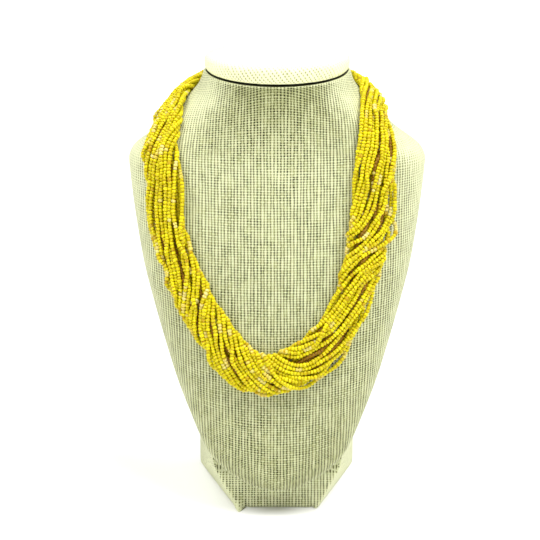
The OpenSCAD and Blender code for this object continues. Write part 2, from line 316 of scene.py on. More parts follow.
class Bundle:
    """The bundle's middle line, cut into even stations, with the frame and size at each."""

    def __init__(self):
        rows = path_rows()
        fine = curve(rows, np.linspace(0, len(rows) - 1, 3000))
        run = run_along(fine[:, :3])
        self.count = int(round(run[-1] / STATION_GAP)) + 1
        self.at = np.linspace(0, run[-1], self.count)
        row = np.stack([np.interp(self.at, run, column) for column in fine.T], 1)
        self.middle = eased(row[:, :3])
        self.along = unit(np.gradient(self.middle, axis=0))
        raw = row[:, 5:8]
        self.out = unit(raw - self.along * (raw * self.along).sum(1, keepdims=True))
        self.across = np.cross(self.along, self.out)
        self.half_w = (SPREAD * row[:, 3] - BEAD_D) / 2
        self.half_t = (row[:, 4] - BEAD_D) / 2
        self.lean = np.radians(evened(row[:, 8], 3))
        self.middle = self.middle + self.out * self.lift()[:, None]

    def lift(self):
        """How far each station rises so that the beads round it are clear of the bust."""
        turn = np.linspace(0, 2 * math.pi, 36, endpoint=False)
        x = (self.half_w + BEAD_D / 2)[:, None] * bent(np.cos(turn), 2 / FULLNESS)
        y = (self.half_t + BEAD_D / 2)[:, None] * bent(np.sin(turn), 2 / FULLNESS)
        ring = (self.middle[:, None] + self.across[:, None] * x[..., None]
                + self.out[:, None] * y[..., None])
        sunk = np.maximum(depth_in(ring)[0].max(1) + CLEAR, 0)
        near = 3
        highest = np.max([np.roll(sunk, shift) for shift in range(-near, near + 1)], 0)
        return evened(highest, 2 * near + 1)

    def track(self, share, wide=1.0, thick=1.0):
        """Places a share of the way round each section, from the outer edge over the front.

        Gives how far across and out they lie, and each section's length round."""
        turn = np.linspace(0, 2 * math.pi, 181)
        x = wide * self.half_w[:, None] * bent(np.cos(turn), 2 / FULLNESS)
        y = thick * self.half_t[:, None] * bent(np.sin(turn), 2 / FULLNESS)
        step = np.hypot(np.diff(x, axis=1), np.diff(y, axis=1))
        run = np.concatenate([np.zeros((self.count, 1)), np.cumsum(step, 1)], 1)
        want = np.mod(share, 1.0) * run[:, -1]
        q = [[np.interp(w, r, a), np.interp(w, r, b)] for w, r, a, b in zip(want, run, x, y)]
        return np.array(q), run[:, -1]


def slow_noise(rng, count, wave):
    """Numbers from -1 to 1 along a strand that change over a length."""
    knots = max(int(count * STATION_GAP / wave) + 3, 4)
    values = rng.uniform(-1, 1, knots)
    u = np.linspace(0, knots - 1.001, count)
    i = np.floor(u).astype(int)
    f = u - i
    f = f * f * (3 - 2 * f)
    return values[i] * (1 - f) + values[i + 1] * f


# Where on the rim strand 0 starts, and how firmly a loose strand keeps to the outer edge
START_SHARE = 0.11
LOOSE_HOLD = 0.8


def loose_at(strand, share, twist, bundle):
    """Moves a strand where it hangs loose: its share of the way round, and how far out it is."""
    for place, edge, far, spread in LOOSE:
        station = int(round(place / STATION_GAP))
        nearest = int(round((twist[station] + edge - START_SHARE) * RIM_STRANDS)) % RIM_STRANDS
        if strand != nearest:
            continue
        bump = np.exp(-((bundle.at - place) / spread) ** 2)
        home = np.mod(share - edge + 0.5, 1) - 0.5
        return edge + home * (1 - LOOSE_HOLD * bump), bump * far
    return share, 0 * share


def first_lay(bundle):
    """Every strand's way through the twisted bundle, before the strands press on each other."""
    rng = np.random.default_rng(7)
    wander, wander_wave = 1.15 / RIM_STRANDS, 50 * MM
    swell, swell_wave = 0.05, 60 * MM
    inner_twist, inner_wide, inner_thick, inner_wander = 0.6, 0.62, 0.25, 1.5 * MM
    around = bundle.track(np.zeros(bundle.count))[1]
    steps = np.tan(bundle.lean[1:]) * STATION_GAP / around[1:]
    twist = np.concatenate([[0], np.cumsum(steps)])
    strands = []
    for k in range(STRANDS):
        if k < RIM_STRANDS:
            strayed = wander * slow_noise(rng, bundle.count, wander_wave)
            share = k / RIM_STRANDS - twist + strayed + START_SHARE
            share, extra = loose_at(k, share, twist, bundle)
            q = bundle.track(share)[0]
            q *= (1 + swell * slow_noise(rng, bundle.count, swell_wave))[:, None]
            q[:, 0] += extra
        else:
            share = (k - RIM_STRANDS + 0.5) / (STRANDS - RIM_STRANDS) - inner_twist * twist
            q = bundle.track(share, wide=inner_wide, thick=inner_thick)[0]
            q[:, 0] += inner_wander * slow_noise(rng, bundle.count, wander_wave)
        strands.append(bundle.middle + bundle.across * q[:, :1] + bundle.out * q[:, 1:])
    return np.array(strands)


def close_pairs(strands, reach_each_way=3, within=5 * MM):
    """Numbers of the places on two strands that are near each other."""
    count, stations, _ = strands.shape
    one, two = [], []
    for k in range(count):
        for m in range(k + 1, count):
            for shift in range(-reach_each_way, reach_each_way + 1):
                i = np.arange(max(0, -shift), min(stations, stations - shift))
                near = np.linalg.norm(strands[k, i] - strands[m, i + shift], axis=1) < within
                one.append(k * stations + i[near])
                two.append(m * stations + i[near] + shift)
    return np.concatenate(one), np.concatenate(two)


def pressed_apart(strands, one, two):
    """Moves strands that press into each other half the way out each."""
    gap = 0.965 * BEAD_D
    beside = 0.55 * STATION_GAP
    eager = 1.3
    places = strands.reshape(-1, 3)
    along = unit(np.gradient(strands, axis=1)).reshape(-1, 3)
    between = places[one] - places[two]
    lie = unit(along[one] + along[two])
    slip = (between * lie).sum(1)
    side = between - lie * slip[:, None]
    distance = np.linalg.norm(side, axis=1)
    pressing = (np.abs(slip) < beside) & (distance < gap)
    need = np.where(pressing, (gap - distance) / 2, 0)
    push = side / np.maximum(distance, 1e-9)[:, None] * need[:, None]
    size = len(places)
    move = np.stack([np.bincount(one, p, size) - np.bincount(two, p, size) for p in push.T], 1)
    touches = np.bincount(one, pressing, size) + np.bincount(two, pressing, size)
    return (places + eager * move / np.maximum(touches, 1)[:, None]).reshape(strands.shape)


def settled(strands, bundle):
    """The strands after they have pressed on each other and on the bust, with no sharp bends."""
    lay = strands.copy()
    loops, hold, weight = 120, 0.04, 0.02 * MM
    pairs_last, full_hold, late_hold = 10, 0.7 * loops, 0.5
    skin_gap = 0.25 * MM
    for loop in range(loops):
        if loop % pairs_last == 0:
            one, two = close_pairs(strands)
        strands = pressed_apart(strands, one, two)
        s = strands
        even = (-s[:, :-4] + 4 * s[:, 1:-3] + 4 * s[:, 3:-1] - s[:, 4:]) / 6
        strands[:, 2:-2] += 0.5 * (even - s[:, 2:-2])
        strands += hold * (lay - strands) * (1 if loop < full_hold else late_hold)
        strands -= weight * bundle.out
        under, way_out = depth_in(strands)
        need = np.maximum(under + BEAD_D / 2 + skin_gap, 0)
        strands += way_out * need[..., None]
        strands[:, 0] = lay[:, 0]
        strands[:, -1] = lay[:, -1]
    return strands


def strung(strand, rng):
    """Places, directions and sizes of the beads along a strand."""
    run = run_along(strand)
    count = int(round(run[-1] / BEAD_PITCH))
    sizes = rng.uniform(1 - BEAD_SPREAD, 1 + BEAD_SPREAD, count)
    at = (np.cumsum(sizes) - sizes / 2) * run[-1] / sizes.sum()
    way = unit(np.gradient(strand, axis=0))
    places = np.stack([np.interp(at, run, column) for column in strand.T], 1)
    aims = unit(np.stack([np.interp(at, run, column) for column in way.T], 1))
    return places, aims, sizes


# Meshes

def new_object(name, data):
    """A new object in the scene."""
    made = bpy.data.objects.new(name, data)
    bpy.context.scene.collection.objects.link(made)
    return made


def mesh_object(name, vertices, faces, uv=None, smooth=True):
    """A new object with a mesh; uv has one pair for each corner of each face."""
    mesh = bpy.data.meshes.new(name)
    mesh.from_pydata([tuple(v) for v in vertices], [], [tuple(f) for f in faces])
    if uv is not None:
        layer = mesh.uv_layers.new(name="cloth")
        layer.data.foreach_set("uv", np.asarray(uv, float).ravel())
    mesh.polygons.foreach_set("use_smooth", [smooth] * len(mesh.polygons))
    mesh.update()
    return new_object(name, mesh)


def corner_maps(cloth):
    """Places on the cloth for each face's corners, from those of the rings' points."""
    return np.stack([cloth[:-1, :-1], cloth[1:, :-1], cloth[1:, 1:], cloth[:-1, 1:]], 2)


# The weave is open over the front and the back, and closes where the cloth turns to the sides,
# which are also painted paler there as painted light: how squarely it faces there, from close to
# open, and how open it stays at the sides
TIGHT = 0.56
LOOSE_WEAVE = 0.88
CLOSE_WEAVE = 0.25
# How open it stays at the chest's flanks, well below the shoulders, so with less painted light
# there
FLANK_WEAVE = 0.70
# How much more open and darker it is at the top of the neck, as painted shade under the cap, and at
# the tip of the chest
NECK_SHADE = 0.80
CHEST_TIP_OPENING = 0.45
# How open it is round the cap's side, darker towards the seam as painted shade; the cap's top is
# close
CAP_WEAVE = 0.6


def grid_piece(name, rings, maps, first, last, openness=1.0, at_sides=CLOSE_WEAVE):
    """A closed skin over rings of equal size, with a point at each end.

    maps holds the place on the cloth of each face's corners; the cloth of both ends lies flat.
    openness says how open the weave is at each point of the rings, and at_sides how open it
    stays where it turns to the sides."""
    count, sides = rings.shape[:2]
    vertices = np.vstack([rings.reshape(-1, 3), first, last])
    faces, uv = [], []
    for k in range(count - 1):
        for i in range(sides):
            j = (i + 1) % sides
            faces.append((k * sides + i, (k + 1) * sides + i, (k + 1) * sides + j, k * sides + j))
            uv += list(maps[k, i])
    end = (count - 1) * sides
    for i in range(sides):
        j = (i + 1) % sides
        for fan in ((count * sides, i, j), (count * sides + 1, end + j, end + i)):
            faces.append(fan)
            uv += [vertices[corner, :2] for corner in fan]
    piece = mesh_object(name, vertices, faces, uv)
    normals = np.zeros(3 * len(vertices))
    piece.data.vertex_normals.foreach_get("vector", normals)
    # The weave closes, and the cloth is painted paler, where the skin turns to the sides: painted
    # light
    flat_on = np.abs(normals.reshape(-1, 3)[:, 1])
    gaps = np.clip((flat_on - TIGHT) / (LOOSE_WEAVE - TIGHT), 0, 1)
    layer = piece.data.attributes.new("gaps", "FLOAT", "POINT")
    at_points = np.append(np.broadcast_to(openness, (count, sides)).ravel(), [1, 1])
    close = np.append(np.broadcast_to(at_sides, (count, sides)).ravel(), [CLOSE_WEAVE, CLOSE_WEAVE])
    layer.data.foreach_set("value", (close + (1 - close) * gaps) * at_points)
    return piece


def round_off(radius, from_edge):
    """How far a rounded edge stands back at a distance from the edge."""
    return radius - np.sqrt(np.maximum(radius**2 - np.maximum(radius - from_edge, 0) ** 2, 0))


def in_front(turns):
    """1 in front, 0 from the sides to the back."""
    return np.maximum(np.cos(turns), 0)


def bust_body():
    """Neck, shoulders and chest: a front and a back cloth with a seam down each side.

    The face on top is near-black board, painted shade for the seam under the cap."""
    sides = 192
    tip_start, dip_fade, flank_fade = 45 * MM, 30 * MM, 60 * MM
    edge_h = SEAM_H - EDGE * np.array([0.0, 0.06, 0.22, 0.5, 0.8])
    body_h = np.linspace(SEAM_H - EDGE, tip_start, 120)
    tip_h = np.linspace(tip_start, ROWS[-1, 0], 24)[1:]
    heights = np.concatenate([edge_h, body_h, tip_h])
    turns = np.linspace(-math.pi, math.pi, sides + 1)
    points = skin(heights[:, None], turns[None, :])
    middle = np.array([0, NECK_Y, 0])
    inwards = unit((middle - points) * [1, 1, 0])
    points += inwards * round_off(EDGE, SEAM_H - heights)[:, None, None]
    near_seam = np.clip(1 - (SEAM_H - heights) / dip_fade, 0, 1)
    points[..., 2] -= SEAM_DIP * near_seam[:, None] * in_front(turns)
    across, down = run_along(points, 1), run_along(points, 0)
    down -= down[np.argmin(np.abs(heights - SHOULDER_H))]
    front = np.stack([across - across[:, sides // 2][:, None], -down], -1)
    from_back = across - np.where(turns > 0, across[:, -1:], across[:, :1])
    behind = np.stack([from_back, -down], -1)
    is_behind = np.abs((turns[:-1] + turns[1:]) / 2) > math.pi / 2
    maps = np.where(is_behind[None, :, None, None], corner_maps(behind), corner_maps(front))
    top = points[0, :-1].mean(0)
    tip = points[-1, :-1].mean(0)
    tip[2] = TIP_H
    up, below = heights - SHOULDER_H, SHOULDER_H - heights
    # More open and darker towards the top of the neck, as painted shade under the cap, and towards
    # the chest's tip
    openness = 1 + NECK_SHADE * np.clip(up / (SEAM_H - SHOULDER_H), 0, 1)
    openness += CHEST_TIP_OPENING * np.clip(below / (SHOULDER_H - TIP_H), 0, 1)
    at_sides = CLOSE_WEAVE + (FLANK_WEAVE - CLOSE_WEAVE) * np.clip(below / flank_fade, 0, 1)
    bust = grid_piece("cloth_bust", points[:, :-1], maps, top, tip,
                      openness[:, None], at_sides[:, None])
    # The faces round the top point take the near-black board: painted shade in the seam under the
    # cap
    top_point = points[:, :-1].size // 3
    for face in bust.data.polygons:
        if top_point in face.vertices:
            face.material_index = 1
    return bust


def arc(middle, radius, start, end, count):
    """Points of a circle's arc, from one angle in degrees to another."""
    turn = np.radians(np.linspace(start, end, count))
    return np.stack([middle[0] + radius * np.cos(turn), middle[1] + radius * np.sin(turn)], 1)


def neck_cap():
    """The padded cap: a disc with rounded edges and a shallow crown, drawn in at the seam."""
    sides = 160
    edge = 4 * MM
    crown, crown_power = 5.5 * MM, 2.4
    drawn_in, less_at_sides = 1.1 * MM, 1.0 * MM
    close_top, opens_over = 2 * MM, 7 * MM
    radius = (CAP_HIGH[0] - CAP_LOW[0]) / 2
    bottom, side_top = CAP_LOW[2] + drawn_in, CAP_HIGH[2] - crown
    flat = radius - edge
    crown_r = np.linspace(0.04, 1, 14)[:, None] * [flat, 0]
    crown_r[:, 1] = CAP_HIGH[2] - crown * (crown_r[:, 0] / flat) ** crown_power
    profile = np.vstack([crown_r[:-1], arc((flat, side_top - edge), edge, 90, 0, 9),
                         arc((flat, bottom + edge), edge, 0, -90, 9), [[flat * 0.5, bottom]]])
    turns = np.linspace(-math.pi, math.pi, sides + 1)
    way = np.stack([np.sin(turns), -np.cos(turns)], 1)
    middle = (CAP_LOW + CAP_HIGH) / 2
    heights = np.broadcast_to(profile[:, 1:, None], (len(profile), sides + 1, 1))
    rings = np.concatenate([middle[:2] + profile[:, :1, None] * way, heights], 2)
    sag = less_at_sides * np.sin(turns) ** 2 + SEAM_DIP * in_front(turns) * profile[:, :1] / radius
    rings[..., 2] -= sag * np.clip((side_top - rings[..., 2]) / (side_top - bottom), 0, 1)
    band = np.stack(np.broadcast_arrays(turns[None] * radius, -run_along(profile)[:, None]), -1)
    is_crown = np.arange(len(profile) - 1) < len(crown_r)
    maps = np.where(is_crown[:, None, None, None],
                    corner_maps(rings[..., :2]), corner_maps(band))
    # Painted shade: the weave opens and darkens down the cap's side towards the seam
    openness = CAP_WEAVE * np.clip((CAP_HIGH[2] - close_top - profile[:, 1]) / opens_over, 0, 1)
    return grid_piece("padded_cap", rings[:, :-1], maps,
                      (*middle[:2], CAP_HIGH[2]), (*middle[:2], bottom), openness[:, None])


def foot_half(height, along, depth, row):
    """The foot's half outline at some heights, from the middle in front to the middle behind.

    Low down the front is narrow; it widens as the folded corners rise."""
    low_w, high_w, rear_w = FOOT_FRONT_W / 2, FOOT_HIGH_W / 2, FOOT_HIGH[0]
    grown = np.minimum(height / FOLD_H, 1)
    front_w = low_w + (high_w - low_w) * grown
    full = FOOT_HIGH[1] - FOOT_LOW[1]
    folded = np.minimum(depth, (1 - grown) * full)
    side_w = (front_w + (rear_w - low_w) / full * folded
              + (rear_w - high_w) / full * (depth - folded))
    return np.select([row == 0, row == 1], [along * front_w, side_w], along * rear_w)


def foot():
    """The tapered block under a cloth folded at its front corners, cut along the bust's back."""
    rounded_rows = 4
    low_back = ROWS[ROWS[:, 0] < FOOT_HIGH[2]]
    high, low = low_back[0], low_back[-rounded_rows]
    slope = (high[3] - low[3]) / (high[0] - low[0])
    plane_y = np.max(low_back[:, 3] - slope * low_back[:, 0]) + CLEAR * math.sqrt(1 + slope**2)

    def cut(y):
        """How high the foot reaches at a depth."""
        return np.minimum((y - plane_y) / slope, FOOT_HIGH[2])

    full = FOOT_HIGH[1] - FOOT_LOW[1]
    centre = np.array([0, FOOT_LOW[1] + full / 2])
    front, side, rear = 25, 28, 21
    along = np.concatenate([np.linspace(0, 1, front), np.ones(side), np.linspace(1, 0, rear)[1:]])
    depth = np.concatenate([np.zeros(front), np.linspace(0, full, side + 1)[1:],
                            np.full(rear - 1, full)])
    row = np.repeat([0, 1, 2], [front, side, rear - 1])
    top = cut(FOOT_LOW[1] + depth)
    levels = np.concatenate([[1.0, 0.985], np.linspace(0.97, 0.05, 46), np.linspace(0.035, 0, 5)])
    halves = []
    for level in levels:
        height = level * top
        half = np.stack([foot_half(height, along, depth, row), FOOT_LOW[1] + depth, height], 1)
        flat = half[:, :2].copy()
        flat[1:-1] = (flat[:-2] + 2 * flat[1:-1] + flat[2:]) / 4
        from_edge = np.minimum(height, top - height)
        half[:, :2] = flat + unit(centre - flat) * round_off(EDGE, from_edge)[:, None]
        halves.append(half)
    halves = np.array(halves)
    mirrored = halves[:, ::-1] * [-1, 1, 1]
    rings = np.concatenate([mirrored[:, :-1], halves], 1)
    run = run_along(halves[..., :2], 1)
    around = np.concatenate([-run[:, :0:-1], run], 1)
    doubled = on_fold(rings)
    rings[..., :2] -= unit(centre - rings[..., :2]) * FOLD_T * doubled[..., None]
    folded_tip(rings)
    wrapped = corner_maps(np.stack([around, rings[..., 2]], -1))
    behind = corner_maps(np.stack([-rings[..., 0], rings[..., 2]], -1))
    is_rear = np.abs(np.arange(2 * len(row) - 2) - len(row) + 1.5) > front + side - 1
    maps = np.where(is_rear[None, :, None, None], behind, wrapped)
    middle = rings[0, :-1, :2].mean(0)
    lids = []
    for share in (0.2, 0.5, 0.8):
        inner = middle + (rings[0, :, :2] - middle) * share
        lids.append(np.column_stack([inner, cut(inner[:, 1])]))
    lids = np.array(lids)
    doubled = np.concatenate([np.zeros(lids.shape[:2]), doubled])[:, :-1]
    maps = np.concatenate([corner_maps(np.concatenate([lids, rings[:1]])[..., :2]), maps])
    rings = np.concatenate([lids, rings])[:, :-1]
    return grid_piece("cloth_foot", rings, maps,
                      (*middle, cut(middle[1])), (*middle, 0), 1 - doubled)


def on_fold(places):
    """How much places on the foot lie on the doubled cloth of a folded corner, from 0 to 1."""
    x, y, z = np.moveaxis(places, -1, 0)
    ridge = FOLD_H * (1 - (y - FOOT_LOW[1]) / (FOOT_HIGH[1] - FOOT_LOW[1]))
    low, high = (np.where(x < 0, left, right) for left, right in zip(*FOLDS))
    past_edge = np.abs(x) - low - (high - low) * z / FOLD_H
    return np.clip(np.minimum(past_edge, ridge - z) / FOLD_EDGE, 0, 1)


def folded_tip(rings):
    """Draws the cloth out into a tip at the foot's front corners, and lifts its hem in front."""
    def near_floor():
        return np.clip(1 - rings[..., 2] / TIP_RISE, 0, 1)

    for corner_x, out, spread in TIPS:
        corner = np.array([corner_x, FOOT_LOW[1]])
        near = np.exp(-(np.linalg.norm(rings[..., :2] - corner, axis=-1) / spread) ** 2)
        rings[..., 1] -= out * near * near_floor() ** 1.5
    at_front = np.abs(rings[..., 1] - FOOT_LOW[1]) < 1 * MM
    hem_end, ripple = FOOT_FRONT_W / 2 - 3 * MM, 7 * MM
    inner = np.clip(1 - np.abs(rings[..., 0]) / hem_end, 0, 1) ** 0.3
    wave = HEM_LIFT * (1 + 0.35 * np.sin(rings[..., 0] / ripple))
    rings[..., 2] += np.where(at_front, inner * wave * near_floor(), 0)


# Node trees

def feed(tree, node, inputs):
    """Gives a node's inputs, by name or number, a value or another node's output."""
    for key, value in inputs.items():
        if isinstance(value, bpy.types.NodeSocket):
            tree.links.new(value, node.inputs[key])
        else:
            node.inputs[key].default_value = value


def add(tree, kind, inputs=None, **settings):
    """A new node with some settings and inputs."""
    node = tree.nodes.new(kind)
    for key, value in settings.items():
        setattr(node, key, value)
    feed(tree, node, inputs or {})
    return node


def calc(tree, operation, a, b=0.0, c=0.0):
    """A new maths node's result."""
    return add(tree, "ShaderNodeMath", {0: a, 1: b, 2: c}, operation=operation).outputs[0]


def bead_tree():
    """Geometry nodes that put a bead on each point, along its aim."""
    tree = bpy.data.node_groups.new("beads_on_a_strand", "GeometryNodeTree")
    for name, kind in (("Strands", "Geometry"), ("Bead width", "Float"), ("Bead length", "Float"),
                       ("Size spread", "Float"), ("Seed", "Int"), ("Glass", "Material")):
        tree.interface.new_socket(name, in_out="INPUT", socket_type="NodeSocket" + kind)
    tree.interface.new_socket("Beads", in_out="OUTPUT", socket_type="NodeSocketGeometry")
    given = add(tree, "NodeGroupInput").outputs
    radius = calc(tree, "MULTIPLY", given["Bead width"], 0.5)
    half = calc(tree, "MULTIPLY", given["Bead length"], 0.5)
    drum = add(tree, "GeometryNodeMeshCylinder",
               {"Vertices": 10, "Side Segments": 3, "Radius": radius,
                "Depth": given["Bead length"]}, fill_type="TRIANGLE_FAN").outputs["Mesh"]
    place = add(tree, "GeometryNodeInputPosition").outputs[0]
    xyz = add(tree, "ShaderNodeSeparateXYZ", {0: place}).outputs
    height = calc(tree, "DIVIDE", calc(tree, "ABSOLUTE", xyz[2]), half)
    # Narrower towards its ends, and dished where the string goes in
    narrowed = calc(tree, "MULTIPLY_ADD", calc(tree, "POWER", height, 2.8), -0.30, 1.0)
    flat = add(tree, "ShaderNodeCombineXYZ", {0: xyz[0], 1: xyz[1]}).outputs[0]
    span = add(tree, "ShaderNodeVectorMath", {0: flat}, operation="LENGTH").outputs["Value"]
    dish = calc(tree, "MULTIPLY_ADD", calc(tree, "DIVIDE", span, radius), 0.12, 0.88)
    shaped = add(tree, "ShaderNodeCombineXYZ", {0: calc(tree, "MULTIPLY", xyz[0], narrowed),
                 1: calc(tree, "MULTIPLY", xyz[1], narrowed),
                 2: calc(tree, "MULTIPLY", xyz[2], dish)}).outputs[0]
    bead = add(tree, "GeometryNodeSetPosition", {"Geometry": drum, "Position": shaped}).outputs[0]
    # Marks how near each point lies to the bead's end, for the painted shade there
    marked = add(tree, "GeometryNodeStoreNamedAttribute",
                 {"Geometry": bead, "Name": "end", "Value": height},
                 data_type="FLOAT", domain="POINT").outputs[0]
    smooth = add(tree, "GeometryNodeSetShadeSmooth", {"Geometry": marked}).outputs[0]
    aims = add(tree, "GeometryNodeInputNamedAttribute", {"Name": "aim"},
               data_type="FLOAT_VECTOR").outputs[0]
    turned = add(tree, "FunctionNodeAlignRotationToVector", {"Vector": aims}, axis="Z").outputs[0]
    small = calc(tree, "SUBTRACT", 1.0, given["Size spread"])
    large = calc(tree, "ADD", 1.0, given["Size spread"])
    sizes = add(tree, "FunctionNodeRandomValue", {2: small, 3: large, "Seed": given["Seed"]},
                data_type="FLOAT").outputs[1]
    own = add(tree, "GeometryNodeInputNamedAttribute", {"Name": "size"},
              data_type="FLOAT").outputs[0]
    beads = add(tree, "GeometryNodeInstanceOnPoints",
                {"Points": given["Strands"], "Instance": smooth, "Rotation": turned,
                 "Scale": calc(tree, "MULTIPLY", sizes, own)}).outputs[0]
    real = add(tree, "GeometryNodeRealizeInstances", {0: beads}).outputs[0]
    glazed = add(tree, "GeometryNodeSetMaterial",
                 {"Geometry": real, "Material": given["Glass"]}).outputs[0]
    add(tree, "NodeGroupOutput", {0: glazed})
    return tree


# Tones of glass from 0 to 1: yellow up to YELLOW, then amber, dark amber painted on as shade, and
# cream from CREAM on
YELLOW = 0.6
AMBER = 0.66
SHADE_AMBER = 0.76
CREAM = 0.80


def bead_tones(rng, count, inner):
    """Which glass each bead of a strand is of: mostly yellow, with short runs of cream.

    A few beads of the outer strands are amber; the strands inside the bundle are painted dark
    amber, as the shade between the strands."""
    cream_often, amber_often = 0.045, 0.03
    tones = rng.uniform(0.0, YELLOW, count)
    place = 0
    while place < count:
        place += int(rng.geometric(cream_often))
        run = int(rng.integers(1, 4))
        tones[place:place + run] = rng.uniform(0.82, 1.0)
        place += run
    # Every bead of an inner strand that is not cream takes the dark amber: painted shade under the
    # outer strands
    amber = rng.random(count) < (1.0 if inner else amber_often)
    tones[amber & (tones < YELLOW)] = SHADE_AMBER if inner else AMBER
    return tones


def bead_piece(name, strands, inners, tree, glass, seed):
    """Some strands of beads as one plain mesh."""
    rng = np.random.default_rng(seed)
    beads = [strung(strand, rng) for strand in strands]
    places = np.vstack([b[0] for b in beads])
    aims = np.vstack([b[1] for b in beads])
    sizes = np.concatenate([b[2] for b in beads])
    tones = np.concatenate([bead_tones(rng, len(b[0]), inner) for b, inner in zip(beads, inners)])
    tilt = 0.16
    aims = unit(aims + rng.normal(0, tilt, aims.shape))
    points = mesh_object(name + "_points", places, [])
    marks = points.data.attributes
    marks.new("aim", "FLOAT_VECTOR", "POINT").data.foreach_set("vector", aims.ravel())
    marks.new("tone", "FLOAT", "POINT").data.foreach_set("value", tones)
    marks.new("size", "FLOAT", "POINT").data.foreach_set("value", sizes)
    maker = points.modifiers.new("beads", "NODES")
    maker.node_group = tree
    values = {"Bead width": BEAD_D, "Bead length": BEAD_PITCH, "Size spread": 0.03,
              "Seed": seed, "Glass": glass}
    for item in tree.interface.items_tree:
        if item.in_out == "INPUT" and item.name in values:
            maker[item.identifier] = values[item.name]
    evaluated = points.evaluated_get(bpy.context.evaluated_depsgraph_get())
    mesh = bpy.data.meshes.new_from_object(evaluated)
    mesh.name = name
    bpy.data.objects.remove(points)
    return new_object(name, mesh)


# Materials

def material(name):
    """A new material with its tree and shader."""
    made = bpy.data.materials.new(name)
    made.use_nodes = True
    tree = made.node_tree
    return made, tree, tree.nodes["Principled BSDF"]


def noise(tree, place, scale, detail=2.0):
    """Cloudy noise from 0 to 1."""
    return add(tree, "ShaderNodeTexNoise",
               {"Vector": place, "Scale": scale, "Detail": detail}).outputs["Fac"]


def mark(tree, name):
    """A value that the mesh has at each of its points."""
    return add(tree, "ShaderNodeAttribute", attribute_name=name,
               attribute_type="GEOMETRY").outputs["Fac"]


def ramp(tree, factor, *stops):
    """Colours that run from stop to stop, each a place from 0 to 1 and a colour."""
    made = add(tree, "ShaderNodeValToRGB", {0: factor})
    elements = made.color_ramp.elements
    for place, colour in stops[1:-1]:
        elements.new(place)
    for element, (place, colour) in zip(elements, stops):
        element.position = place
        element.color = (*colour, 1)
    return made.outputs[0]


def mixed(tree, factor, first, second):
    """Two colours mixed."""
    return add(tree, "ShaderNodeMix", {"Factor": factor, 6: first, 7: second},
               data_type="RGBA").outputs[2]


def grained(tree, shader, scale, dark, light, detail=2.0):
    """Gives a shader two colours that change with a noise, and returns the noise."""
    place = add(tree, "ShaderNodeTexCoord").outputs["Object"]
    cloud = noise(tree, place, scale, detail)
    feed(tree, shader, {"Base Color": ramp(tree, cloud, (0.0, dark), (1.0, light))})
    return cloud


# From thread to thread
WARP_PITCH = 2.35 * MM
WEFT_PITCH = 1.85 * MM
# How far threads wander, and how quickly along themselves and from one to the next, per metre
WANDER = 1.7 * MM
WANDER_ALONG, WANDER_ACROSS = 28, 150
# Thick places along a thread, per metre, and how far apart threads lie in their noise
SLUBS = 75.0
OWN_NOISE = 7.3


